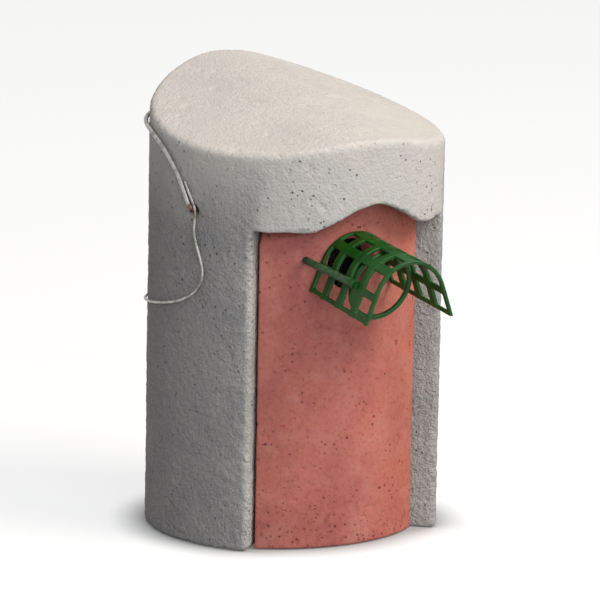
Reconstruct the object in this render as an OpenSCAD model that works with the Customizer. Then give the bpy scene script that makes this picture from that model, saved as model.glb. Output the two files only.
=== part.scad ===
// Round wood-concrete nest box with a removable front and a plastic guard.
// Millimetres, +Z up, front towards -Y. The origin is on the base, on the body's axis.
// Bearings are degrees round that axis, counted from the front towards +X.

/* [Body] */
// Outside diameter of the body
body_d = 200; // [180:1:240]
// Thickness of the round wall
wall_t = 30; // [24:1:34]
// Thickness of the floor
floor_t = 24; // [16:1:34]
// Height of the roof's ridge over the body's axis
crown_h = 294.3; // [286:0.1:320]
// Slope of the ridge down to the front, in degrees
roof_slope = 9.8; // [6:0.1:14]
// Slope of the roof down to each side, in degrees
side_slope = 13.7; // [8:0.1:18]
// Radius of the rounded ridge
ridge_r = 128; // [60:1:200]
// Thickness of the roof
roof_t = 24; // [18:1:28]
// Diameter of each drain hole in the floor
drain_d = 8; // [5:0.5:12]
// Distance of the drain holes from the axis
drain_r = 34; // [24:1:45]

/* [Opening] */
// Bearing of the front opening's left side, to the left of the front, in degrees
opening_left = 49.4; // [48:0.1:54]
// Bearing of the front opening's right side, in degrees
opening_right = 46; // [44:0.1:54]
// Height of the fascia under the roof, at its shoulders
fascia_drop = 26.5; // [24:0.1:34]
// Rise of the arch in the fascia's lower edge
arch_rise = 17.6; // [10:0.2:20]
// Half the angle of that arch, in degrees
arch_half = 29.7; // [20:0.1:40]
// Thickness of the fascia in front of the panel's top
fascia_t = 8.5; // [8:0.1:9]

/* [Front panel] */
// Radius of the panel's outer face
face_r = 103.4; // [98:0.2:108]
// Sideways place of the middle of the panel's round face
panel_x = -4.8; // [-7:0.1:0]
// Depth of the panel's face behind the body's front, at its middle and at the base
panel_inset = 18; // [18:0.1:21]
// Thickness of the panel
panel_t = 16; // [12:0.5:18]
// Height of the panel's top over the fascia's shoulders
panel_tuck = 19.4; // [18.4:0.2:22]
// Gap between the panel's left side and the jamb
left_gap = 1.6; // [1.4:0.1:4]
// Gap between the panel's right side and the jamb
right_gap = 3.6; // [2:0.1:8]
// Gap between the panel's lower edge and the base plane
panel_lift = 0.5; // [0.3:0.1:2]
// Diameter of the entrance hole
entrance_d = 35; // [28:0.5:36]
// Sideways place of the entrance hole
entrance_x = -7.2; // [-9:0.1:0]
// Distance of the entrance hole's centre below the fascia's shoulders
entrance_drop = 24.8; // [22:0.2:30]
// Diameter of the two pivot pins
pin_d = 5; // [4:0.1:6]
// Height of the pivot pins over the fascia's shoulders
pin_rise = 10.4; // [9:0.2:12]
// Clearance between the pivot pins and the fascia in front of them
pin_clear = 0.15; // [0.1:0.05:0.4]

/* [Guard] */
// Sideways place of the guard's middle
guard_x = -5.5; // [-7:0.1:2]
// Half the width of the guard at its back feet
guard_half_w = 33.3; // [32:0.1:36]
// Outer radius of the guard's round top, at its back
guard_r = 26.7; // [26:0.1:28]
// How much wider each side of the guard is at its front
guard_flare = 1.5; // [0:0.1:3]
// Thickness of the guard's hoops
hoop_t = 2.4; // [1.8:0.1:3]
// Thickness of the bars that join the hoops
bar_t = 2; // [1.2:0.1:2.6]
// Width of the three hoops in the middle
hoop_w = 6.2; // [3:0.1:8]
// Width of the hoops at the guard's two ends
end_hoop_w = 3; // [2:0.1:4]
// Width of the bars along the feet
rail_w = 3; // [2:0.1:4]
// Width of the bars half-way up the sides
mid_bar_w = 5; // [3:0.1:7]
// Width of the bars in the round top
upper_bar_w = 6.8; // [4:0.1:9]
// Width of the bar along the crown
crown_bar_w = 8; // [5:0.1:10]
// Distance from the guard's back feet to its front
guard_depth = 69; // [60:0.1:80]
// Distance of the guard's back feet below the entrance hole's centre
guard_foot_drop = 16; // [15:0.1:24]
// Drop of the guard's feet from back to front
guard_droop = 10.3; // [6:0.1:14]
// Height of the round top's centre over the feet
guard_centre_h = 12; // [10:0.1:13]
// Forward lean of the hoops, in degrees
hoop_lean = 3.2; // [0:0.1:8]
// Thickness of the ring's round section
ring_d = 3.6; // [2:0.1:4]
// Forward lean of the ring, in degrees
ring_lean = 14; // [8:0.5:18]
// Diameter of the rod
rod_d = 5; // [3.4:0.1:5.2]
// Distance that the rod reaches in front of the guard's back feet
rod_reach = 43; // [42:0.1:45]

/* [Wires] */
// Diameter of the hanging wire
hanger_d = 3; // [2.4:0.1:4]
// Diameter of the tie wire
tie_d = 1.8; // [1.2:0.1:2.2]
// Diameter of the two holes in the wall
hanger_hole_d = 8; // [7:0.1:9]
// Distance of those holes below the roof's crown
hanger_drop = 68.3; // [64:0.1:76]
// Bearing of those holes, in degrees
hanger_bearing = 76; // [74:0.5:80]

/* [Hidden] */
$fn = 96;
body_r = body_d / 2;
inner_r = body_r - wall_t;
wall_count = 6;
wall_span = (360 - opening_left - opening_right) / wall_count;
fascia_span = (opening_left + opening_right) / 3;
tall = crown_h + body_r;              // taller than anything here
wide = 3 * body_r;                    // wider than anything here
seat_gap = 0.3;                       // between pieces that rest on each other
shoulder = on_bearing(body_r, (opening_left + opening_right) / 2);
shoulder_h = roof_h(ridge_r - roof_t, shoulder) - fascia_drop;

panel_reach = body_r - panel_inset;
panel_top = shoulder_h + panel_tuck;
entrance_h = shoulder_h - entrance_drop;
face_y = face_r - panel_reach;
back_r = face_r - panel_t;
// Bearings of the panel's left and right sides, and of its narrower top corners, the ears
panel_sides = [
    -opening_left + left_gap / panel_reach * 180 / PI,
    opening_right - right_gap / panel_reach * 180 / PI,
];
ear_narrowing = 4;
ear_sides = [panel_sides[0] + ear_narrowing, panel_sides[1] - ear_narrowing];
ear_rise = 2.4;                       // they start this far over the shoulders
ear_h = shoulder_h + ear_rise;
// The panel's top is bevelled where it swings out under the fascia.
bevel_h = 24;
bevel_r = body_r - fascia_t - 7.5;
pin_h = shoulder_h + pin_rise;
// The pins lie right behind the fascia's sides, where they leave the jambs.
pin_reach = (body_r - fascia_t) * cos(max(opening_left, opening_right)) - pin_d / 2 - pin_clear;
pin_in_panel = 5.6;
pin_in_wall = 8;
pin_fit = 0.05;
floor_gap = 0.8;

// Guard
guard_foot_h = entrance_h - guard_foot_drop;
hoop_count = 5;
last_hoop = hoop_count - 1;
bar_count = 7;
mid_bar_h = 17;
upper_bar_angle = 52;
crown_half = 10;                      // half the width of the guard's crown piece
guard_back_y = on_face(0, guard_x + guard_half_w);
ring_gap = 0.7;
ring_hoop = 2;
ring_r = hoop_r(ring_hoop) - hoop_t - ring_gap - ring_d / 2;
rod_back_x = guard_x - guard_half_w - 3.1;
rod_back = [rod_back_x, on_face(seat_gap + rod_d / 2, rod_back_x), guard_foot_h + 21.3];
rod_front = [guard_x - guard_half_w + 4.1, guard_back_y - rod_reach, guard_foot_h + 13.4];
boss_wall = 0.4;
boss_len = 5;
lug_hoop = 3;
lug_reach = 9;                        // behind the hoop it stands on
lug_low = 5;                          // heights over the feet of its ends
lug_high = 24;

// Wires: each route is a list of [distance from the axis, bearing, height].
wire_gap = 0.3;
hanger_hole_h = crown_h - hanger_drop;
hanger_r = body_r + hanger_d / 2 + wire_gap;
hanger_rise = 50;
hanger_bend = 12;
tie_r = body_r + tie_d / 2 + wire_gap;
hook_route = [
    [inner_r - 6, hanger_bearing, hanger_hole_h - 9],
    [inner_r - 5.5, hanger_bearing, hanger_hole_h - 4],
    [inner_r - 3, hanger_bearing, hanger_hole_h - 1],
    [inner_r + 2, hanger_bearing, hanger_hole_h],
    [body_r - 6, hanger_bearing, hanger_hole_h],
    [body_r - 1, hanger_bearing, hanger_hole_h + 0.6],
];
hanger_side = [
    for (a = [1, 2, 3.5, 5, 7, 9, 12, 15, 19, 24, 29, 34, 39, 44, 49, 54, 59, 64, 69, 74, 79, 84, 89, 94, 99])
        [hanger_r, hanger_bearing + a, hanger_hole_h + hanger_rise * (1 - exp(-a / hanger_bend))]
];
// The tie wire's route down from its free end: [bearing, height over the holes].
tie_side = [
    [79.5, 19], [78, 14], [75.8, 8], [74.2, 3], [73.6, -2], [74.3, -9], [74.4, -15],
    [72.7, -24], [70.6, -33], [69.6, -40], [70.4, -46], [72.4, -52], [75.6, -56.5], [80, -60.5],
    [85, -63.5], [90, -65.5], [96, -67.5], [103, -69.5], [110, -71], [118, -72.5], [126, -73.8],
    [134, -74.8], [142, -75.6], [150, -76.2], [158, -76.6], [166, -76.9], [174, -77],
];

CASTING = "#c9c5bd";
BRICK_RED = "#a4564c";
GREEN = "#1f6b35";
ZINC = "#b9bcbb";

function on_bearing(r, bearing) = [r * sin(bearing), -r * cos(bearing)];
function place(p) = concat(on_bearing(p[0], p[1]), [p[2]]);
// Height of the roof's sloping sides, with r as the ridge's radius, over the point p.
function roof_h(r, p) =
    crown_h + p[1] * tan(roof_slope)
    + (r / cos(side_slope) - abs(p[0]) * tan(side_slope) - ridge_r) / cos(roof_slope);
// The Y of a point at x that lies the given gap in front of the panel's face.
function on_face(gap, x) = face_y - sqrt(pow(face_r + gap, 2) - pow(x - panel_x, 2));
function flip(points) = [for (i = [len(points) - 1:-1:0]) points[i]];
function unit(v) = v / norm(v);

// ---- Shapes used by several pieces

module wedge(from, to) {
    middle = (from + to) / 2;
    polygon([[0, 0], on_bearing(wide, from), on_bearing(wide, middle), on_bearing(wide, to)]);
}

module ring_2d(outer, inner) {
    difference() {
        circle(outer);
        circle(inner);
    }
}

// The space under a roof with the given radius at its ridge.
module under_roof(r) {
    steps = 12;
    ridge = [
        for (i = [0:steps])
            let (a = side_slope * (1 - 2 * i / steps))
            [r * sin(a), r * cos(a)]
    ];
    eave_x = 1.2 * body_r;
    eave_y = (r - eave_x * sin(side_slope)) / cos(side_slope);
    translate([0, 0, crown_h])
        rotate([roof_slope, 0, 0])
            translate([0, 0, -ridge_r])
                rotate([90, 0, 0])
                    linear_extrude(2 * wide, center = true)
                        polygon(concat(
                            [[eave_x, eave_y]], ridge, [[-eave_x, eave_y], [-eave_x, -tall], [eave_x, -tall]]
                        ));
}

// A tube swept along points, with eight sides.
module swept_wire(points, d) {
    sides = 8;
    n = len(points);
    heading = [for (i = [0:n - 1]) unit(points[min(i + 1, n - 1)] - points[max(i - 1, 0)])];
    rings = [
        for (i = [0:n - 1])
            let (p = points[i], t = heading[i], out = unit([p[0], p[1], 0]),
                 u = unit(cross(t, abs(t * out) > 0.8 ? [0, 0, 1] : out)), v = cross(t, u))
            for (k = [0:sides - 1]) p + d / 2 * (cos(k * 360 / sides) * u + sin(k * 360 / sides) * v)
    ];
    sides_faces = [
        for (i = [0:n - 2]) for (k = [0:sides - 1])
            [i * sides + k, i * sides + (k + 1) % sides,
             (i + 1) * sides + (k + 1) % sides, (i + 1) * sides + k]
    ];
    ends = [[for (k = [sides - 1:-1:0]) k], [for (k = [0:sides - 1]) (n - 1) * sides + k]];
    polyhedron(rings, concat(sides_faces, ends), convexity = 8);
}

module bore_x(x, r, length) {
    translate([x - length / 2, -pin_reach, pin_h])
        rotate([0, 90, 0])
            cylinder(r = r, h = length);
}

// Where the jamb on the given side, -1 or 1, meets the pin.
function jamb_x(side) = side * pin_reach * tan(side < 0 ? opening_left : opening_right);

// ---- Casting

module roof() {
    color(CASTING)
        difference() {
            intersection() {
                cylinder(r = body_r, h = tall);
                under_roof(ridge_r);
            }
            under_roof(ridge_r - roof_t);
        }
}

module wall_bores() {
    for (side = [-1, 1]) {
        bore_x(jamb_x(side) + side * (pin_in_wall / 2 - 2), pin_d / 2 + pin_fit, pin_in_wall + 4);
        rotate([0, 0, side * hanger_bearing])
            translate([0, -body_r, hanger_hole_h])
                rotate([90, 0, 0])
                    cylinder(d = hanger_hole_d, h = 3 * wall_t, center = true);
    }
}

module wall_segment(index) {
    from = opening_right + index * wall_span;
    color(CASTING)
        difference() {
            intersection() {
                linear_extrude(tall)
                    intersection() {
                        ring_2d(body_r, inner_r);
                        wedge(from, from + wall_span);
                    }
                under_roof(ridge_r - roof_t);
            }
            wall_bores();
        }
}

module under_fascia() {
    steps = 20;
    wave = [
        for (i = [0:steps])
            let (a = arch_half * (2 * i / steps - 1))
            [body_r * sin(a), shoulder_h + arch_rise * (1 + cos(180 * a / arch_half)) / 2]
    ];
    rotate([90, 0, 0])
        linear_extrude(wide)
            polygon(concat(
                [[-wide, shoulder_h]], wave, [[wide, shoulder_h], [wide, -wide], [-wide, -wide]]
            ));
}

module fascia(index) {
    from = index * fascia_span - opening_left;
    color(CASTING)
        difference() {
            intersection() {
                linear_extrude(tall)
                    intersection() {
                        ring_2d(body_r, body_r - fascia_t);
                        wedge(from, from + fascia_span);
                    }
                under_roof(ridge_r - roof_t);
            }
            under_fascia();
        }
}

module floor_plate() {
    color(CASTING)
        difference() {
            linear_extrude(floor_t)
                difference() {
                    circle(inner_r);
                    difference() {
                        wedge(-opening_left, opening_right);
                        translate([panel_x, face_y])
                            circle(back_r - floor_gap);
                    }
                }
            for (bearing = [60, 180, 300])
                translate(concat(on_bearing(drain_r, bearing), [-1]))
                    cylinder(d = drain_d, h = floor_t + 2);
        }
}

// ---- Front panel and its pins

// Where the panel's ear on the given side, -1 or 1, meets the pin.
function ear_x(side) = pin_reach * tan(ear_sides[(side + 1) / 2]);

module pivot_pin(side) {
    start = ear_x(side) - side * pin_in_panel;
    end = jamb_x(side) + side * (pin_in_wall - 1);
    color(ZINC)
        bore_x((start + end) / 2, pin_d / 2, abs(end - start));
}

// The space between the jambs, narrower where the pins are.
module between_jambs() {
    linear_extrude(ear_h)
        wedge(panel_sides[0], panel_sides[1]);
    linear_extrude(tall)
        wedge(ear_sides[0], ear_sides[1]);
}

module under_bevel() {
    rotate_extrude()
        polygon([
            [0, 0], [body_r, 0], [body_r, shoulder_h - bevel_h], [bevel_r, shoulder_h],
            [bevel_r, tall], [0, tall],
        ]);
}

module front_panel() {
    color(BRICK_RED)
        difference() {
            intersection() {
                translate([panel_x, face_y, panel_lift])
                    linear_extrude(panel_top - panel_lift)
                        ring_2d(face_r, back_r);
                between_jambs();
                under_bevel();
            }
            translate([entrance_x, 0, entrance_h])
                rotate([90, 0, 0])
                    cylinder(d = entrance_d, h = wide);
            for (side = [-1, 1])
                bore_x(ear_x(side), pin_d / 2 + 2 * pin_fit, 2 * pin_in_panel + 1);
        }
}

// ---- Guard

function hoop_share(i) = i / last_hoop;
function hoop_y(i) = guard_back_y - guard_depth * hoop_share(i);
function hoop_z(i) = guard_foot_h - guard_droop * hoop_share(i);
function half_w(i) = guard_half_w + guard_flare * hoop_share(i);
function hoop_r(i) = guard_r + guard_flare * hoop_share(i);
function leg_angle(i) =
    acos(hoop_r(i) / norm([half_w(i), guard_centre_h])) - atan2(guard_centre_h, half_w(i));

// One side of a hoop's outline, depth inside its outer one: from the left foot to the right.
function hoop_side(i, depth) =
    let (t = leg_angle(i), foot = half_w(i) - depth / cos(t), r = hoop_r(i) - depth, steps = 24)
    concat(
        [[-foot, 0]],
        [
            for (k = [0:steps])
                let (a = 180 - t - k / steps * (180 - 2 * t))
                [r * cos(a), guard_centre_h + r * sin(a)]
        ],
        [[foot, 0]]
    );

module hoop_2d(i) {
    polygon(concat(hoop_side(i, 0), flip(hoop_side(i, hoop_t))));
}

module in_hoop(i) {
    translate([guard_x, hoop_y(i), hoop_z(i)])
        rotate([hoop_lean + 90, 0, 0])
            children();
}

module back_hoop() {
    seat_r = face_r + seat_gap;
    intersection() {
        difference() {
            translate([guard_x, 0, guard_foot_h])
                rotate([90, 0, 0])
                    linear_extrude(body_r)
                        hoop_2d(0);
            translate([panel_x, face_y, 0])
                cylinder(r = seat_r, h = tall);
        }
        translate([panel_x, face_y, 0])
            cylinder(r = seat_r + end_hoop_w, h = tall);
    }
}

// A bar runs between points on the middle of the hoops' thickness: bars go from the left foot
// over the top. Each has its [point, outward direction] on the outline of hoop i.
function bar_side(k) = k < 3 ? -1 : 1;
function bar_rank(k) = min(k, bar_count - 1 - k);
function bar_width(k) = [rail_w, mid_bar_w, upper_bar_w, crown_bar_w][bar_rank(k)];
function bar_on_profile(i, k) =
    let (t = leg_angle(i), m = bar_rank(k), s = bar_side(k), low = rail_w / 2,
         foot = half_w(i) - hoop_t / 2 / cos(t), up = upper_bar_angle, r = hoop_r(i) - hoop_t / 2)
    m == 0 ? [[s * (foot - low * tan(t)), low], [s * cos(t), sin(t)]] :
    m == 1 ? [[s * (foot - mid_bar_h * tan(t)), mid_bar_h], [s * cos(t), sin(t)]] :
    m == 2 ? [[s * r * cos(up), guard_centre_h + r * sin(up)], [s * cos(up), sin(up)]] :
    [[0, guard_centre_h + r], [0, 1]];
function bar_point(i, p) =
    let (x = guard_x + p[0])
    i == 0 ?
        [x, on_face(seat_gap + hoop_t / 2, x), hoop_z(0) + p[1]] :
        [x, hoop_y(i) - p[1] * sin(hoop_lean), hoop_z(i) + p[1] * cos(hoop_lean)];

// A flat bar from a to b, with its broad side facing out.
module flat_bar(a, b, out, w) {
    v = unit(b - a);
    u = unit(cross(out, v));
    n = cross(v, u);
    multmatrix([
        [u[0], n[0], v[0], a[0]],
        [u[1], n[1], v[1], a[1]],
        [u[2], n[2], v[2], a[2]],
    ])
        translate([-w / 2, -bar_t / 2, 0])
            cube([w, bar_t, norm(b - a)]);
}

module round_bar(a, b, d) {
    v = b - a;
    translate(a)
        rotate([0, acos(v[2] / norm(v)), atan2(v[1], v[0])])
            cylinder(d = d, h = norm(v), $fn = 32);
}

module bar(i, k) {
    from = bar_on_profile(i, k);
    to = bar_on_profile(i + 1, k);
    out = [from[1][0], 0, from[1][1]];
    flat_bar(bar_point(i, from[0]), bar_point(i + 1, to[0]), out, bar_width(k));
}

// The filled corner under the rod's boss, in the plane of the left legs.
module lug() {
    high = mid_bar_h + mid_bar_w / 2;
    translate([guard_x - half_w(lug_hoop), hoop_y(lug_hoop), hoop_z(lug_hoop)])
        rotate([hoop_lean, 0, 0])
            rotate([0, leg_angle(lug_hoop), 0])
                rotate([90, 0, 90])
                    linear_extrude(bar_t)
                        polygon([
                            [0, lug_low], [lug_reach, 2 * lug_low], [lug_reach, high],
                            [lug_reach / 2, lug_high], [0, lug_high],
                        ]);
}

module rod_boss() {
    round_bar(rod_front, rod_front + boss_len * unit(rod_front - rod_back), rod_d + 2 * boss_wall);
}

module guard_grid() {
    back_hoop();
    for (i = [1:last_hoop])
        in_hoop(i)
            linear_extrude(i == last_hoop ? end_hoop_w : hoop_w, center = true)
                hoop_2d(i);
    for (i = [0:last_hoop - 1])
        for (k = [0:bar_count - 1])
            bar(i, k);
    lug();
    rod_boss();
}

module guard_part(from, to) {
    color(GREEN)
        intersection() {
            guard_grid();
            translate([guard_x + from, -wide, 0])
                cube([to - from, wide, tall]);
        }
}

module guard_ring() {
    color(GREEN)
        in_hoop(ring_hoop)
            translate([0, guard_centre_h, 0])
                rotate([ring_lean - hoop_lean, 0, 0])
                    rotate_extrude()
                        translate([ring_r, 0])
                            circle(d = ring_d, $fn = 32);
}

module guard_rod() {
    color(GREEN) {
        round_bar(rod_back, rod_front, rod_d);
        translate(rod_back)
            sphere(d = rod_d, $fn = 32);
    }
}

// ---- Wires

module hanging_wire() {
    half = concat(hook_route, hanger_side);
    right = [for (p = half) place(p)];
    left = [for (p = half) place([p[0], -p[1], p[2]])];
    color(ZINC)
        swept_wire(concat(right, [place([hanger_r, 180, hanger_hole_h + hanger_rise])], flip(left)), hanger_d);
}

module tie_wire() {
    right = [for (p = tie_side) place([tie_r, p[0], hanger_hole_h + p[1]])];
    left = [for (p = tie_side) place([tie_r, -p[0], hanger_hole_h + p[1]])];
    color(ZINC)
        swept_wire(concat(right, flip(left)), tie_d);
}

roof();
floor_plate();  // floor
fascia(0);  // fascia_left
fascia(1);  // fascia_centre
fascia(2);  // fascia_right
wall_segment(0);  // wall_front_right
wall_segment(1);  // wall_side_right
wall_segment(2);  // wall_rear_right
wall_segment(3);  // wall_rear_left
wall_segment(4);  // wall_side_left
wall_segment(5);  // wall_front_left
pivot_pin(-1);  // pivot_pin_left
pivot_pin(1);  // pivot_pin_right
hanging_wire();
tie_wire();
front_panel();
guard_part(-wide, -crown_half);  // guard_left_side
guard_part(-crown_half, crown_half);  // guard_crown
guard_part(crown_half, wide);  // guard_right_side
guard_ring();
guard_rod();
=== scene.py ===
"""Looks of the nest box: rough cast skins, moulded guard, wires, materials, light and camera.

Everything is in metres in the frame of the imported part. Bearings are angles round the body's
axis, counted from the front (-Y) towards +X.
"""

import itertools
import math

import bpy
import numpy as np
import openvdb
from mathutils import Matrix, Vector


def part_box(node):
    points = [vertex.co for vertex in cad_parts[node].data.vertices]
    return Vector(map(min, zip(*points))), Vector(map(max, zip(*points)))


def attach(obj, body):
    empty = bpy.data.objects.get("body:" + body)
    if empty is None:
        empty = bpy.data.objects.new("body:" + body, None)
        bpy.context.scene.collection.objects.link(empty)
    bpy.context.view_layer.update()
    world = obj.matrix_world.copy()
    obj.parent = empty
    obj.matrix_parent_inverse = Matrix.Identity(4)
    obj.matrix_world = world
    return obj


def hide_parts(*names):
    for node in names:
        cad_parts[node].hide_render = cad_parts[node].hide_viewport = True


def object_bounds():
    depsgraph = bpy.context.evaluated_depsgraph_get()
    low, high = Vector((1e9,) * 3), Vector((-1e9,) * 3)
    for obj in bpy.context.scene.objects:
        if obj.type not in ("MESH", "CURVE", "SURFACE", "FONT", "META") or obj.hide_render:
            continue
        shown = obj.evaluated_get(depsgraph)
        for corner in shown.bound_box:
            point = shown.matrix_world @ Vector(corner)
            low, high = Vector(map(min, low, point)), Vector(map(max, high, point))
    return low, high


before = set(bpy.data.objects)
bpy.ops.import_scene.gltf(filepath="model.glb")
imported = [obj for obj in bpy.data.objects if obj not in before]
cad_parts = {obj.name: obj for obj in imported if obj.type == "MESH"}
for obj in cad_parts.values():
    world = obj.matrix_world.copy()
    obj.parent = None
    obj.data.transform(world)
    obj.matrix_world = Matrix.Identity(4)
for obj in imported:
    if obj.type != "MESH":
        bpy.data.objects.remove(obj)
cad_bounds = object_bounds()

MM = 0.001

# ---- Sizes, from the frame where it has them

body_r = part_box("roof")[1].x
inner_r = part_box("floor")[1].x
shoulder_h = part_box("fascia_left")[0].z
roof_slope = math.radians(9.8)
side_slope = math.radians(13.7)
ridge_r = 128 * MM
roof_t = 24 * MM
roof_steepness = 0.957
bevel_steepness = 0.83
crown_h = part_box("roof")[1].z - body_r * math.tan(roof_slope)
opening_left = math.radians(49.4)
opening_right = math.radians(46)
fascia_t = 8.5 * MM
arch_rise = 17.6 * MM
arch_half = math.radians(29.7)
hanger_bearing = math.radians(76)
hanger_hole_h = crown_h - 68.3 * MM
hanger_hole_r = 4 * MM

panel_low, panel_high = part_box("front_panel")
panel_t = 16 * MM
panel_lift = 0.5 * MM
panel_reach = body_r - 18 * MM
panel_top = shoulder_h + 19.4 * MM
panel_left = opening_left - 1.6 * MM / panel_reach
panel_right = opening_right - 3.6 * MM / panel_reach
bevel_h = 24 * MM
bevel_r = body_r - fascia_t - 7.5 * MM
ear_narrowing = math.radians(4)
ear_h = shoulder_h + 2.4 * MM
entrance_r = 17.5 * MM
panel_x = -4.8 * MM
entrance_x = -7.2 * MM
entrance_h = shoulder_h - 24.8 * MM
face_r = 103.4 * MM
face_y = face_r - panel_reach


# ---- Fields: a shape is a signed distance, negative inside it


def grid_axes(low, high, cell):
    return [np.arange(a, b + cell, cell) for a, b in zip(low, high)]


def spline_weights(axis, size, count):
    """Weights of a smooth curve through count lattice points, size apart, at each place on axis."""
    t = (axis - axis[0]) / size
    weights = np.zeros((len(axis), count))
    for k in range(count):
        d = np.abs(t - k)
        near = np.where(d < 1, 2 / 3 - d**2 + d**3 / 2, 0)
        far = np.where((d >= 1) & (d < 2), (2 - d) ** 3 / 6, 0)
        weights[:, k] = near + far
    return weights


def grid_noise(axes, size, rng):
    """Smooth noise over a whole grid, about -1 to 1, with lumps of the given size."""
    counts = [int((a[-1] - a[0]) / size) + 3 for a in axes]
    values = rng.uniform(-1.7, 1.7, counts)
    for k, axis in enumerate(axes):
        weights = spline_weights(axis, size, counts[k])
        values = np.moveaxis(np.tensordot(weights, values, axes=(1, k)), 0, k)
    return values.astype(np.float32)


def point_noise(points, size, seed):
    """Smooth noise at points, -1 to 1, with lumps of the given size."""
    side = 32
    table = np.random.default_rng(seed).uniform(-1, 1, (side,) * 3)
    place = points / size
    cell = np.floor(place).astype(int)
    share = place - cell
    share = share * share * (3 - 2 * share)
    total = np.zeros(len(points))
    for corner in itertools.product((0, 1), repeat=3):
        index = (cell + corner) % side
        weight = np.prod(np.where(corner, share, 1 - share), axis=1)
        total += weight * table[index[:, 0], index[:, 1], index[:, 2]]
    return total


def rounded(a, b, radius):
    """What is inside both a and b, with the edge between them rounded."""
    inner = np.minimum(np.maximum(a, b), -radius)
    return inner + np.hypot(np.maximum(a + radius, 0), np.maximum(b + radius, 0))


def worn(a, b, radius, chip):
    """The same, with the edge broken away where chip is wide."""
    return np.maximum(rounded(a, b, radius), (a + b + chip) * math.sqrt(0.5))


def chips(axes, size, depth, share, rng):
    """Depth of the chips along edges: mostly none, and up to depth in places."""
    lumps = grid_noise(axes, size, rng) + 0.5 * grid_noise(axes, size / 2.5, rng)
    return np.clip((lumps - share) / (1 - share), 0, 1) * depth


def surface_of(name, axes, field):
    """A mesh of the surface where the field is zero."""
    cell = axes[0][1] - axes[0][0]
    band = 3 * cell
    grid = openvdb.FloatGrid(band)
    grid.copyFromArray(np.clip(field, -band, band).astype(np.float32))
    points, quads = grid.convertToQuads()
    points = points * cell + np.array([a[0] for a in axes])
    mesh = bpy.data.meshes.new(name)
    mesh.vertices.add(len(points))
    mesh.vertices.foreach_set("co", points.astype(np.float32).ravel())
    mesh.loops.add(quads.size)
    mesh.loops.foreach_set("vertex_index", quads.astype(np.int32).ravel())
    mesh.polygons.add(len(quads))
    mesh.polygons.foreach_set("loop_start", np.arange(0, quads.size, 4))
    mesh.update(calc_edges=True)
    mesh.validate()
    return mesh


def read_points(mesh):
    points = np.zeros(len(mesh.vertices) * 3)
    mesh.vertices.foreach_get("co", points)
    return points.reshape(-1, 3)


def read_normals(mesh):
    normals = np.zeros(len(mesh.vertices) * 3)
    mesh.vertex_normals.foreach_get("vector", normals)
    return normals.reshape(-1, 3)


def write_points(mesh, points):
    mesh.vertices.foreach_set("co", points.astype(np.float32).ravel())
    mesh.update()


def finish_mesh(name, mesh):
    """A new smooth-shaded object in the scene."""
    thing = bpy.data.objects.new(name, mesh)
    bpy.context.scene.collection.objects.link(thing)
    mesh.polygons.foreach_set("use_smooth", [True] * len(mesh.polygons))
    return thing


def outward(mesh):
    """Turns the faces outwards where they look in."""
    points = read_points(mesh)
    normals = read_normals(mesh)
    if np.sum(normals * (points - points.mean(0))) < 0:
        mesh.flip_normals()


def apply_modifiers(thing):
    evaluated = thing.evaluated_get(bpy.context.evaluated_depsgraph_get())
    mesh = bpy.data.meshes.new_from_object(evaluated)
    old = thing.data
    thing.modifiers.clear()
    thing.data = mesh
    bpy.data.meshes.remove(old)


def thin_out(thing, weights, ratio):
    """Merges the faces where weights are high, down to the given share of them."""
    group = thing.vertex_groups.new(name="thin")
    for level in np.unique(weights):
        chosen = np.nonzero(weights == level)[0].tolist()
        group.add(chosen, float(level), "REPLACE")
    fewer = thing.modifiers.new("fewer", "DECIMATE")
    fewer.ratio = ratio
    fewer.vertex_group = "thin"
    fewer.use_collapse_triangulate = True
    apply_modifiers(thing)
    thing.vertex_groups.clear()


# ---- Casting


def roof_height(x, y, radius):
    """Height over (x, y) of the roof with the given radius at its ridge."""
    run = np.abs(x)
    sloping = radius / math.cos(side_slope) - run * math.tan(side_slope)
    round_top = np.sqrt(np.maximum(radius**2 - x**2, 0))
    profile = np.where(run < radius * math.sin(side_slope), round_top, sloping)
    rise = (profile - ridge_r) / math.cos(roof_slope)
    return crown_h + y * math.tan(roof_slope) + rise


def fascia_edge(x):
    """Height of the fascia's lower edge."""
    angle = np.arcsin(np.clip(x / body_r, -1, 1))
    wave = (1 + np.cos(np.pi * angle / arch_half)) / 2
    return shoulder_h + arch_rise * np.where(np.abs(angle) < arch_half, wave, 0)


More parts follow.
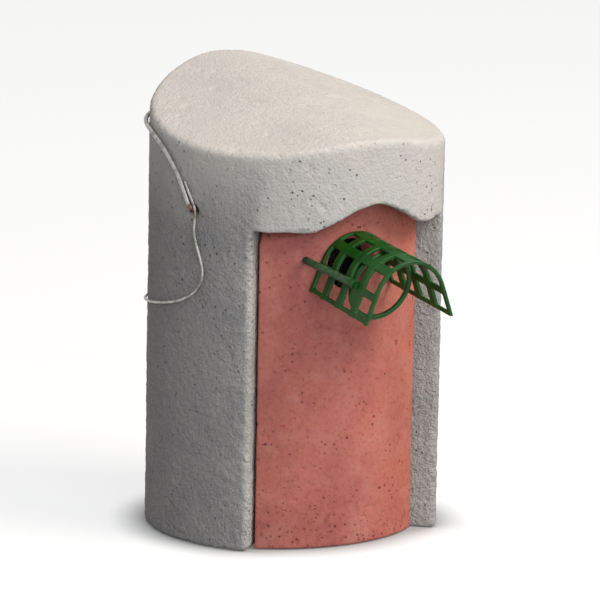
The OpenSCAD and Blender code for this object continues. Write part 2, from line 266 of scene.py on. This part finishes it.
def casting_field(axes):
    rng = np.random.default_rng(11)
    x, y, z = np.meshgrid(*axes, indexing="ij", sparse=True)
    r = np.hypot(x, y)
    bearing = np.arctan2(x, -y)
    swell = grid_noise(axes, 34 * MM, rng)
    lumps = grid_noise(axes, 9 * MM, rng)
    crumbs = grid_noise(axes, 4 * MM, rng)
    chip = chips(axes, 11 * MM, 5.5 * MM, 0.25, rng)
    nick = chips(axes, 4.5 * MM, 2.6 * MM, 0.1, rng)

    side = r - body_r + (0.35 + 0.25 * swell) * MM
    top = (z - roof_height(x, y, ridge_r)) * roof_steepness + (0.3 + 0.25 * swell) * MM
    outer = worn(side, top, 4 * MM, 1.2 * MM + chip * 0.4)
    outer = worn(outer, -z + 0 * r, 2 * MM, 0.8 * MM + 0.7 * chip)

    outside = np.maximum(bearing - opening_right, -bearing - opening_left)
    jamb = r * np.sin(np.clip(outside, -np.pi / 2, np.pi / 2))
    edge = z - fascia_edge(x) - (0.5 * lumps + 0.5 * crumbs + 0.2 * swell) * MM
    under_fascia = np.minimum(r - (body_r - fascia_t), edge)
    room = np.minimum(r - inner_r, np.maximum(jamb + 0.3 * MM * lumps, under_fascia))
    room = np.maximum(room, z - roof_height(x, y, ridge_r - roof_t))
    below = z < shoulder_h - 6 * MM
    arris = np.where(below, np.where(bearing < 0, 4.6 * MM, 2.2 * MM), 0.8 * MM)
    solid = worn(outer, -room, arris, 0.3 * MM + nick)

    for side_sign in (-1, 1):
        a = side_sign * hanger_bearing
        along = x * math.sin(a) - y * math.cos(a)
        across = x * math.cos(a) + y * math.sin(a)
        hole = np.hypot(across, z - hanger_hole_h) - hanger_hole_r
        hole = np.where(along > 0, hole, 1)
        solid = rounded(solid, -hole, 1 * MM)
    return solid


def weather_casting(mesh):
    """Moves the outer faces in by the depth of the cast surface's grain and pits."""
    points = read_points(mesh)
    normals = read_normals(mesh)
    coarse = point_noise(points, 7 * MM, 21)
    medium = point_noise(points, 3.4 * MM, 22)
    fine = point_noise(points, 2.1 * MM, 23)
    grain = 0.25 * coarse + 0.45 * medium + 0.30 * fine
    pits = np.clip(point_noise(points, 4.2 * MM, 24) - 0.55, 0, 1) * 2.2
    smooth = np.clip((points[:, 2] - shoulder_h + 12 * MM) / (40 * MM), 0, 1)
    deep = np.clip((body_r - 1.5 * MM - np.hypot(points[:, 0], points[:, 1])) / (3 * MM), 0, 1)
    rough = (1 - 0.62 * smooth) * (1 - 0.72 * deep)
    depth = (0.5 * rough - 0.75 * rough * grain + 0.9 * pits) * MM
    write_points(mesh, points - normals * np.maximum(depth, 0)[:, None])


def make_casting():
    cell = 1.45 * MM
    margin = 4 * cell
    low = (-body_r - margin, -body_r - margin, -margin)
    high = (body_r + margin, body_r + margin, cad_bounds[1].z + margin)
    axes = grid_axes(low, high, cell)
    mesh = surface_of("casting", axes, casting_field(axes))
    outward(mesh)
    weather_casting(mesh)
    thing = finish_mesh("casting", mesh)
    points = read_points(mesh)
    r = np.hypot(points[:, 0], points[:, 1])
    under = points[:, 2] < roof_height(points[:, 0], points[:, 1], ridge_r - roof_t) + 1 * MM
    inside = (r < inner_r + 1 * MM) & under
    thin_out(thing, np.where(inside, 1.0, 0.3), 0.55)
    return thing


# ---- Front panel


def panel_field(axes):
    rng = np.random.default_rng(31)
    x, y, z = np.meshgrid(*axes, indexing="ij", sparse=True)
    swell = grid_noise(axes, 30 * MM, rng)
    chip = chips(axes, 9 * MM, 3 * MM, 0.35, rng)

    from_centre = np.hypot(x - panel_x, y - face_y)
    face = from_centre - face_r + (0.25 + 0.2 * swell) * MM
    back = face_r - panel_t - from_centre
    plate = np.maximum(face, back)

    bearing = np.arctan2(x, -y)
    outside = np.maximum(bearing - panel_right, -bearing - panel_left)
    r = np.hypot(x, y)
    flank = r * np.sin(np.clip(outside, -np.pi / 2, np.pi / 2))
    ears = r * np.sin(np.clip(outside + ear_narrowing, -np.pi / 2, np.pi / 2))
    sides = np.maximum(flank, np.minimum(ears, z - ear_h))
    slope = (body_r - bevel_r) / bevel_h
    under_bevel = r - bevel_r - slope * np.maximum(shoulder_h - z, 0)
    plate = np.maximum(plate, under_bevel * bevel_steepness)
    plate = worn(plate, sides, 0.7 * MM, 0.1 * MM + chip)
    ends = np.maximum(panel_lift - z, z - panel_top)
    plate = worn(plate, ends + 0 * r, 0.8 * MM, 0.2 * MM + chip)
    hole = np.hypot(x - entrance_x, z - entrance_h) - entrance_r
    return rounded(plate, -hole, 2.5 * MM)


def weather_panel(mesh):
    points = read_points(mesh)
    normals = read_normals(mesh)
    coarse = point_noise(points, 6 * MM, 41)
    fine = point_noise(points, 2.4 * MM, 42)
    pits = np.clip(point_noise(points, 3.1 * MM, 43) - 0.62, 0, 1) * 2.6
    depth = (0.14 - 0.08 * coarse - 0.06 * fine + 0.8 * pits) * MM
    write_points(mesh, points - normals * np.maximum(depth, 0)[:, None])


def make_panel():
    cell = 1.05 * MM
    margin = 4 * cell
    low = [a - margin for a in panel_low]
    high = [b + margin for b in panel_high]
    axes = grid_axes(low, high, cell)
    mesh = surface_of("front_skin", axes, panel_field(axes))
    outward(mesh)
    weather_panel(mesh)
    thing = finish_mesh("front_skin", mesh)
    points = read_points(mesh)
    from_centre = np.hypot(points[:, 0] - panel_x, points[:, 1] - face_y)
    behind = from_centre < face_r - panel_t + 1.5 * MM
    thin_out(thing, np.where(behind, 1.0, 0.2), 0.6)
    return thing


# ---- Guard


def make_guard():
    """The guard's grid as one moulding, with softened edges."""
    shifts = {"guard_left_side": 0.03 * MM, "guard_crown": 0, "guard_right_side": -0.03 * MM}
    joined = bpy.data.meshes.new("guard")
    points, faces = [], []
    for node, shift in shifts.items():
        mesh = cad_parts[node].data
        start = sum(len(p) for p in points)
        points.append(read_points(mesh) + (shift, 0, 0))
        faces += [[start + v for v in p.vertices] for p in mesh.polygons]
    joined.from_pydata(np.concatenate(points).tolist(), [], faces)
    thing = finish_mesh("guard_grid", joined)
    remesh = thing.modifiers.new("one", "REMESH")
    remesh.mode = "VOXEL"
    remesh.voxel_size = 0.5 * MM
    remesh.use_smooth_shade = True
    soften = thing.modifiers.new("soften", "SMOOTH")
    soften.factor = 0.5
    soften.iterations = 3
    apply_modifiers(thing)
    return thing


def make_tube(name, points, radius):
    """A round bar along points."""
    curve = bpy.data.curves.new(name, "CURVE")
    curve.dimensions = "3D"
    curve.bevel_depth = radius
    curve.bevel_resolution = 5
    curve.resolution_u = 6
    curve.use_fill_caps = True
    spline = curve.splines.new("NURBS")
    spline.points.add(len(points) - 1)
    for k, p in enumerate(points):
        spline.points[k].co = (*p, 1)
    spline.order_u = 4
    spline.use_endpoint_u = True
    thing = bpy.data.objects.new(name, curve)
    bpy.context.scene.collection.objects.link(thing)
    apply_to_mesh = thing.evaluated_get(bpy.context.evaluated_depsgraph_get())
    mesh = bpy.data.meshes.new_from_object(apply_to_mesh)
    bpy.data.objects.remove(thing)
    bpy.data.curves.remove(curve)
    return finish_mesh(name, mesh)


# ---- Wires

hanger_r = body_r + 1.8 * MM
tie_r = body_r + 1.2 * MM
HANGER_RISE = 50 * MM
HANGER_BEND = 12


def on_bearing(r, degrees, height):
    a = math.radians(degrees)
    return Vector((r * math.sin(a), -r * math.cos(a), height))


def mirrored(route):
    """The whole wire, from its right half's route of (distance from the axis, bearing, height)."""
    right = [on_bearing(*p) for p in route]
    left = [on_bearing(r, -a, h) for r, a, h in route]
    return right + left[::-1]


def hanger_route():
    bearing = math.degrees(hanger_bearing)
    hook = [(-6, -9), (-5.5, -4), (-3, -1), (2, 0)]
    route = [(inner_r + r * MM, bearing, hanger_hole_h + h * MM) for r, h in hook]
    route.append((body_r - 6 * MM, bearing, hanger_hole_h))
    route.append((body_r - 1 * MM, bearing, hanger_hole_h + 0.6 * MM))
    turns = [1, 2, 3.5, 5, 7, 9, 12, 15, *range(19, 104, 5)]
    for a in turns:
        rise = HANGER_RISE * (1 - math.exp(-a / HANGER_BEND))
        route.append((hanger_r, bearing + a, hanger_hole_h + rise))
    return route


def tie_route():
    side = [
        (79.5, 19), (78, 14), (75.8, 8), (74.2, 3), (73.6, -2), (74.3, -9), (74.4, -15),
        (72.7, -24), (70.6, -33), (69.6, -40), (70.4, -46), (72.4, -52), (75.6, -56.5),
        (80, -60.5), (85, -63.5), (90, -65.5), (96, -67.5), (103, -69.5), (110, -71),
        (118, -72.5), (126, -73.8), (134, -74.8), (142, -75.6), (150, -76.2), (158, -76.6),
        (166, -76.9), (174, -77),
    ]
    return [(tie_r, a, hanger_hole_h + h * MM) for a, h in side]


# ---- Materials


class Shader:
    """Makes one material's nodes."""

    def __init__(self, name):
        self.material = bpy.data.materials.new(name)
        self.material.use_nodes = True
        self.tree = self.material.node_tree
        self.surface = self.tree.nodes["Principled BSDF"]
        self.place = self.node("ShaderNodeTexCoord").outputs["Object"]

    def node(self, kind, **values):
        made = self.tree.nodes.new(kind)
        for key, value in values.items():
            setattr(made, key, value)
        return made

    def link(self, source, socket):
        self.tree.links.new(source, socket)

    def feed(self, socket, value):
        if isinstance(value, bpy.types.NodeSocket):
            self.link(value, socket)
        else:
            socket.default_value = value

    def noise(self, size, detail=3, roughness=0.55):
        made = self.node("ShaderNodeTexNoise")
        self.link(self.place, made.inputs["Vector"])
        made.inputs["Scale"].default_value = 1 / size
        made.inputs["Detail"].default_value = detail
        made.inputs["Roughness"].default_value = roughness
        return made.outputs["Fac"]

    def cells(self, size):
        made = self.node("ShaderNodeTexVoronoi")
        self.link(self.place, made.inputs["Vector"])
        made.inputs["Scale"].default_value = 1 / size
        return made.outputs["Distance"]

    def scaled(self, x, y, z):
        made = self.node("ShaderNodeMapping")
        self.link(self.place, made.inputs["Vector"])
        made.inputs["Scale"].default_value = (x, y, z)
        return made.outputs["Vector"]

    def ramp(self, value, low, high):
        """0 at low and 1 at high, straight between them."""
        made = self.node("ShaderNodeMapRange", clamp=True)
        self.feed(made.inputs["Value"], value)
        made.inputs["From Min"].default_value = low
        made.inputs["From Max"].default_value = high
        return made.outputs["Result"]

    def math(self, operation, a, b=0.0, clamp=False):
        made = self.node("ShaderNodeMath", operation=operation, use_clamp=clamp)
        self.feed(made.inputs[0], a)
        self.feed(made.inputs[1], b)
        return made.outputs[0]

    def mix(self, share, a, b):
        made = self.node("ShaderNodeMix", data_type="RGBA")
        self.feed(made.inputs["Factor"], share)
        self.feed(made.inputs[6], (*a, 1) if isinstance(a, tuple) else a)
        self.feed(made.inputs[7], (*b, 1) if isinstance(b, tuple) else b)
        return made.outputs[2]

    def bump(self, height, distance, below=None, strength=1):
        made = self.node("ShaderNodeBump")
        made.inputs["Strength"].default_value = strength
        made.inputs["Distance"].default_value = distance
        self.link(height, made.inputs["Height"])
        if below:
            self.link(below, made.inputs["Normal"])
        return made.outputs["Normal"]

    def axis(self, name):
        made = self.node("ShaderNodeSeparateXYZ")
        self.link(self.place, made.inputs["Vector"])
        return made.outputs[name]

    def facing(self, name):
        """How far the surface faces along an axis, -1 to 1."""
        made = self.node("ShaderNodeSeparateXYZ")
        self.link(self.node("ShaderNodeTexCoord").outputs["Normal"], made.inputs["Vector"])
        return made.outputs[name]

    def distance(self, point, place=None):
        made = self.node("ShaderNodeVectorMath", operation="DISTANCE")
        self.link(place or self.place, made.inputs[0])
        made.inputs[1].default_value = point
        return made.outputs["Value"]

    def near(self, point, reach):
        """1 at a point, down to 0 at reach from it."""
        return self.ramp(self.distance(point), reach, reach * 0.2)

    def band(self, point, radius, width):
        """1 on a sphere of the given radius round a point, down to 0 at width from it."""
        off = self.math("ABSOLUTE", self.math("SUBTRACT", self.distance(point), radius))
        return self.ramp(off, width, 0)

    def finish(self, colour, roughness, normal=None, metallic=0.0, specular=0.5):
        self.feed(self.surface.inputs["Base Color"], colour)
        self.feed(self.surface.inputs["Roughness"], roughness)
        self.surface.inputs["Metallic"].default_value = metallic
        self.surface.inputs["Specular IOR Level"].default_value = specular
        if normal:
            self.link(normal, self.surface.inputs["Normal"])
        return self.material


def tint(red, green, blue):
    """A colour from the 0 to 255 values seen on a screen."""
    return tuple(
        v / 12.92 if v <= 0.04045 else ((v + 0.055) / 1.055) ** 2.4
        for v in (red / 255, green / 255, blue / 255)
    )


def casting_material():
    s = Shader("casting")
    drift = s.math("MULTIPLY", s.noise(22 * MM, 4, 0.6), 20 * MM)
    height = s.math("ADD", s.axis("Z"), drift)
    upper = s.ramp(height, shoulder_h + 2 * MM, shoulder_h + 62 * MM)
    front_y = -body_r * math.cos(opening_left)
    over_front = s.math("ADD", s.axis("Y"), s.math("MULTIPLY", drift, 0.5))
    fascia = s.math(
        "MULTIPLY", s.ramp(over_front, front_y + 9 * MM, front_y - 1 * MM),
        s.ramp(s.axis("Z"), shoulder_h - 2 * MM, shoulder_h),
    )
    smooth = s.math("MAXIMUM", upper, fascia)
    # Lighter where the surface faces up, and on the upper part and the fascia.
    top = s.ramp(s.facing("Z"), 0.35, 0.8)

    cloudy = s.ramp(s.noise(48 * MM, 4), 0.35, 0.65)
    wall = s.mix(cloudy, tint(160, 158, 159), tint(182, 180, 178))
    # The far left of the wall is darker here: painted shade.
    painted_shade_left = s.ramp(s.axis("X"), -70 * MM, -98 * MM)
    wall = s.mix(s.math("MULTIPLY", painted_shade_left, 0.5), wall, tint(138, 135, 137))
    face = s.mix(cloudy, tint(192, 191, 188), tint(202, 197, 191))
    roof = s.mix(cloudy, tint(209, 203, 197), tint(217, 210, 203))
    # Faces set in from the outer wall (mostly the jambs) and the left jamb edge are paler below the
    # shoulder: painted light and painted highlight.
    flat = s.scaled(1, 1, 0)
    deep = s.ramp(s.distance((0, 0, 0), flat), body_r - 1.5 * MM, body_r - 5 * MM)
    corner = tuple(on_bearing(body_r - 1 * MM, -math.degrees(opening_left), 0))
    arris = s.math("MULTIPLY", s.ramp(s.distance(corner, flat), 5 * MM, 2.5 * MM), 0.8)
    below = s.ramp(s.axis("Z"), shoulder_h, shoulder_h - 4 * MM)
    painted_light_jambs = s.math("MULTIPLY", s.math("MAXIMUM", s.math("MULTIPLY", deep, 0.55), arris), below)
    colour = s.mix(top, s.mix(s.math("MAXIMUM", smooth, painted_light_jambs), wall, face), roof)
    speckle = s.ramp(s.noise(1.7 * MM, 4, 0.7), 0.4, 0.72)
    rough = s.math("SUBTRACT", 1.0, s.math("MULTIPLY", smooth, 0.75))
    colour = s.mix(
        s.math("MULTIPLY", speckle, s.math("MULTIPLY", rough, 0.45)), colour, tint(118, 114, 110)
    )
    patchy = s.ramp(s.noise(11 * MM, 5, 0.65), 0.5, 0.75)
    colour = s.mix(s.math("MULTIPLY", patchy, 0.3), colour, tint(184, 178, 170))
    sparse = s.ramp(s.noise(16 * MM, 2), 0.46, 0.6)
    pores = s.math("MULTIPLY", s.ramp(s.cells(4.4 * MM), 0.22, 0.07), sparse)
    pores = s.math("MULTIPLY", pores, s.math("SUBTRACT", 1, s.math("MULTIPLY", top, 0.85)))
    colour = s.mix(s.math("MULTIPLY", pores, 0.65), colour, tint(92, 86, 80))

    grain = s.noise(1.8 * MM, 5, 0.65)
    knobs = s.noise(3.6 * MM, 3, 0.6)
    normal = s.bump(grain, 0.9 * MM, strength=0.75)
    normal = s.bump(s.math("MULTIPLY", knobs, rough), 2.6 * MM, normal, 0.9)
    normal = s.bump(s.math("MULTIPLY", pores, -1), 1.2 * MM, normal, 0.9)
    return s.finish(colour, 0.92, normal, specular=0.2)


def red_material():
    s = Shader("red_casting")
    cloudy = s.ramp(s.noise(52 * MM, 3), 0.35, 0.65)
    colour = s.mix(cloudy, tint(166, 94, 90), tint(192, 113, 99))
    # Warmer and brighter towards the right of the front: painted light.
    rightwards = s.math("ADD", s.axis("X"), s.math("MULTIPLY", s.noise(30 * MM, 3), 40 * MM))
    painted_light_right = s.math("MULTIPLY", s.ramp(rightwards, 18 * MM, 84 * MM), 0.55)
    colour = s.mix(painted_light_right, colour, tint(192, 108, 82))
    patchy = s.ramp(s.noise(7 * MM, 5, 0.65), 0.38, 0.72)
    colour = s.mix(s.math("MULTIPLY", patchy, 0.35), colour, tint(194, 128, 112))
    height = s.math("ADD", s.axis("Z"), s.math("MULTIPLY", s.noise(14 * MM, 4), 60 * MM))
    low = s.ramp(height, 74 * MM, 28 * MM)
    blotch = s.ramp(s.noise(5 * MM, 4, 0.6), 0.5, 0.66)
    dark = s.math("MULTIPLY", s.math("MULTIPLY", low, blotch), 0.5)
    colour = s.mix(dark, colour, tint(140, 66, 58))

    # A dark arc below the entrance: painted shadow and stain.
    arc_centre = (entrance_x - 3 * MM, -panel_reach, entrance_h - 8 * MM)
    arc = s.band(arc_centre, 37 * MM, 2.6 * MM)
    under = s.ramp(s.axis("Z"), entrance_h - 33 * MM, entrance_h - 40 * MM)
    arc_shadow_and_stain = s.math("MULTIPLY", s.math("MULTIPLY", arc, under), s.ramp(s.noise(4 * MM, 3), 0.35, 0.6))
    colour = s.mix(s.math("MULTIPLY", arc_shadow_and_stain, 0.5), colour, tint(120, 52, 46))

    mottle = s.ramp(s.noise(2.6 * MM, 5, 0.7), 0.5, 0.7)
    colour = s.mix(s.math("MULTIPLY", mottle, 0.5), colour, tint(136, 68, 64))
    bloom = s.ramp(s.noise(24 * MM, 6, 0.7), 0.5, 0.68)
    colour = s.mix(s.math("MULTIPLY", bloom, 0.32), colour, tint(200, 142, 132))

    sparse = s.ramp(s.noise(19 * MM, 3, 0.6), 0.44, 0.66)
    crowd = s.math("MAXIMUM", sparse, s.math("MULTIPLY", low, 0.8))
    pores = s.math("MULTIPLY", s.ramp(s.cells(4.8 * MM), 0.25, 0.09), crowd)
    height = s.math("ADD", s.axis("Z"), s.math("MULTIPLY", s.noise(12 * MM, 3), 70 * MM))
    bottom = s.ramp(height, 96 * MM, 50 * MM)
    fine_pores = s.math("MULTIPLY", s.ramp(s.cells(2.9 * MM), 0.24, 0.1), bottom)
    fine_pores = s.math("MULTIPLY", fine_pores, s.ramp(s.noise(9 * MM, 2), 0.48, 0.62))
    pores = s.math("MAXIMUM", pores, fine_pores)
    colour = s.mix(s.math("MULTIPLY", pores, 0.85), colour, tint(84, 32, 30))
    normal = s.bump(s.noise(2.2 * MM, 5, 0.6), 0.5 * MM, strength=0.45)
    normal = s.bump(s.math("MULTIPLY", pores, -1), 0.9 * MM, normal, 0.8)
    return s.finish(colour, 0.86, normal, specular=0.2)


def green_material():
    s = Shader("green_plastic")
    colour = s.mix(s.ramp(s.noise(16 * MM), 0.35, 0.65), tint(2, 60, 6), tint(16, 82, 14))
    normal = s.bump(s.noise(3 * MM, 4), 0.25 * MM, strength=0.35)
    return s.finish(colour, 0.4, normal, specular=0.3)


def rod_material():
    s = Shader("weathered_plastic")
    colour = s.mix(s.ramp(s.noise(3 * MM, 4), 0.4, 0.65), tint(28, 62, 30), tint(62, 92, 58))
    low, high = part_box("guard_rod")
    back = (low.x + 2.5 * MM, high.y - 2.5 * MM, high.z - 2.5 * MM)
    colour = s.mix(s.near(back, 6.5 * MM), colour, tint(14, 26, 18))
    return s.finish(colour, 0.5, specular=0.4)


def wire_material():
    s = Shader("zinc_wire")
    spots = s.ramp(s.noise(5 * MM, 5, 0.65), 0.45, 0.62)
    colour = s.mix(spots, tint(176, 176, 172), tint(128, 126, 122))
    rust = s.ramp(s.noise(2.5 * MM, 5, 0.7), 0.45, 0.6)
    for side in (-1, 1):
        hole = on_bearing(body_r, side * math.degrees(hanger_bearing), hanger_hole_h)
        share = s.math("MULTIPLY", s.near(hole, 9 * MM), s.math("ADD", rust, 0.4), True)
        colour = s.mix(share, colour, tint(112, 62, 34))
    normal = s.bump(s.noise(1.5 * MM, 4), 0.15 * MM, strength=0.5)
    return s.finish(colour, 0.48, normal, metallic=0.75)


def dress(thing, material):
    thing.data.materials.clear()
    thing.data.materials.append(material)


# ---- Stage


def background_rays(tree):
    """1 for the rays that show the background: to the camera, in gloss or through glass."""
    path = tree.nodes.new("ShaderNodeLightPath")
    shown = path.outputs["Is Camera Ray"]
    for name in ("Is Glossy Ray", "Is Transmission Ray"):
        either = tree.nodes.new("ShaderNodeMath")
        either.operation = "MAXIMUM"
        tree.links.new(shown, either.inputs[0])
        tree.links.new(path.outputs[name], either.inputs[1])
        shown = either.outputs[0]
    return shown


def make_stage():
    size = 4.0
    mesh = bpy.data.meshes.new("stage_floor")
    mesh.from_pydata(
        [(-size, -size, 0), (size, -size, 0), (size, size, 0), (-size, size, 0)],
        [],
        [(0, 1, 2, 3)],
    )
    floor = bpy.data.objects.new("stage_floor", mesh)
    bpy.context.scene.collection.objects.link(floor)
    material = bpy.data.materials.new("stage_floor")
    material.use_nodes = True
    nodes, links = material.node_tree.nodes, material.node_tree.links
    surface = nodes["Principled BSDF"]
    surface.inputs["Base Color"].default_value = (0.36, 0.36, 0.36, 1)
    surface.inputs["Roughness"].default_value = 1
    surface.inputs["Specular IOR Level"].default_value = 0
    lift = nodes.new("ShaderNodeMath")
    lift.operation = "MULTIPLY"
    links.new(background_rays(material.node_tree), lift.inputs[0])
    # The floor glows less close to the object: a painted contact shadow.
    painted_contact_shade = nodes.new("ShaderNodeAmbientOcclusion")
    painted_contact_shade.inputs["Distance"].default_value = 28 * MM
    painted_contact_shade_share = nodes.new("ShaderNodeMapRange")
    links.new(painted_contact_shade.outputs["AO"], painted_contact_shade_share.inputs["Value"])
    painted_contact_shade_share.inputs["From Min"].default_value = 0.5
    painted_contact_shade_share.inputs["To Min"].default_value = 0.12
    painted_contact_shade_share.inputs["To Max"].default_value = 0.71
    links.new(painted_contact_shade_share.outputs["Result"], lift.inputs[1])
    surface.inputs["Emission Color"].default_value = (1, 1, 1, 1)
    links.new(lift.outputs[0], surface.inputs["Emission Strength"])
    mesh.materials.append(material)


def make_world():
    world = bpy.data.worlds.new("studio")
    bpy.context.scene.world = world
    world.use_nodes = True
    nodes, links = world.node_tree.nodes, world.node_tree.links
    background = nodes["Background"]
    shown = background_rays(world.node_tree)
    strength = nodes.new("ShaderNodeMapRange")
    links.new(shown, strength.inputs["Value"])
    strength.inputs["To Min"].default_value = 0.44
    strength.inputs["To Max"].default_value = 1.0
    background.inputs["Color"].default_value = (1, 1, 1, 1)
    links.new(strength.outputs["Result"], background.inputs["Strength"])


def make_lamp(name, place, aim, size, power, colour=(1, 1, 1)):
    lamp = bpy.data.lights.new(name, "AREA")
    lamp.shape = "DISK"
    lamp.size = size
    lamp.energy = power
    lamp.color = colour
    thing = bpy.data.objects.new(name, lamp)
    bpy.context.scene.collection.objects.link(thing)
    thing.location = place
    thing.rotation_euler = (Vector(place) - Vector(aim)).to_track_quat("Z", "Y").to_euler()


def make_camera():
    azimuth = math.radians(33)
    rise = math.radians(11.32)
    pitch = math.radians(11.44)
    roll = math.radians(1.026)
    distance = 3.5
    target = Vector((0, 0, 0.16))
    away = Vector((
        -math.sin(azimuth) * math.cos(rise),
        -math.cos(azimuth) * math.cos(rise),
        math.sin(rise),
    ))
    forward = Vector((
        math.sin(azimuth) * math.cos(pitch),
        math.cos(azimuth) * math.cos(pitch),
        -math.sin(pitch),
    ))
    right = Vector((math.cos(azimuth), -math.sin(azimuth), 0))
    up = right.cross(forward)
    turned_right = math.cos(roll) * right + math.sin(roll) * up
    turned_up = -math.sin(roll) * right + math.cos(roll) * up
    camera = bpy.data.cameras.new("camera")
    camera.lens = 310.5
    camera.sensor_width = 36
    camera.shift_x = 0.0096
    camera.clip_end = 20
    thing = bpy.data.objects.new("camera", camera)
    bpy.context.scene.collection.objects.link(thing)
    matrix = Matrix((turned_right, turned_up, -forward)).transposed().to_4x4()
    matrix.translation = target + distance * away
    thing.matrix_world = matrix
    bpy.context.scene.camera = thing


# ---- The whole

make_camera()
make_stage()
make_world()
make_lamp("key", (1.0, -1.55, 2.0), (0, 0, 0.15), 1.3, 51, (1, 0.935, 0.87))
make_lamp("fill", (-0.7, -2.3, 1.1), (0, 0, 0.15), 1.6, 21, (0.90, 0.96, 1))
bpy.context.scene.view_settings.view_transform = "Standard"

stone = casting_material()
red = red_material()
green = green_material()
zinc = wire_material()

casting = make_casting()
dress(casting, stone)
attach(casting, "body")
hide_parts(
    "roof", "fascia_left", "fascia_centre", "fascia_right",
    "wall_front_right", "wall_side_right", "wall_rear_right",
    "wall_rear_left", "wall_side_left", "wall_front_left",
)

front_skin = make_panel()
dress(front_skin, red)
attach(front_skin, "front")
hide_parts("front_panel")

guard = make_guard()
dress(guard, green)
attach(guard, "front")
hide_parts("guard_left_side", "guard_crown", "guard_right_side")

hanger = make_tube("hanging_wire_bent", mirrored(hanger_route()), 1.5 * MM)
dress(hanger, zinc)
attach(hanger, "body")
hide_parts("hanging_wire")

tie = make_tube("tie_wire_bent", mirrored(tie_route()), 0.9 * MM)
dress(tie, zinc)
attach(tie, "body")
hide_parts("tie_wire")

for node, material, slot in (
    ("floor", stone, "casting"),
    ("pivot_pin_left", zinc, "zinc_wire"),
    ("pivot_pin_right", zinc, "zinc_wire"),
    ("guard_ring", green, "green_plastic"),
    ("guard_rod", rod_material(), "green_plastic"),
):
    dress(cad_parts[node], material)
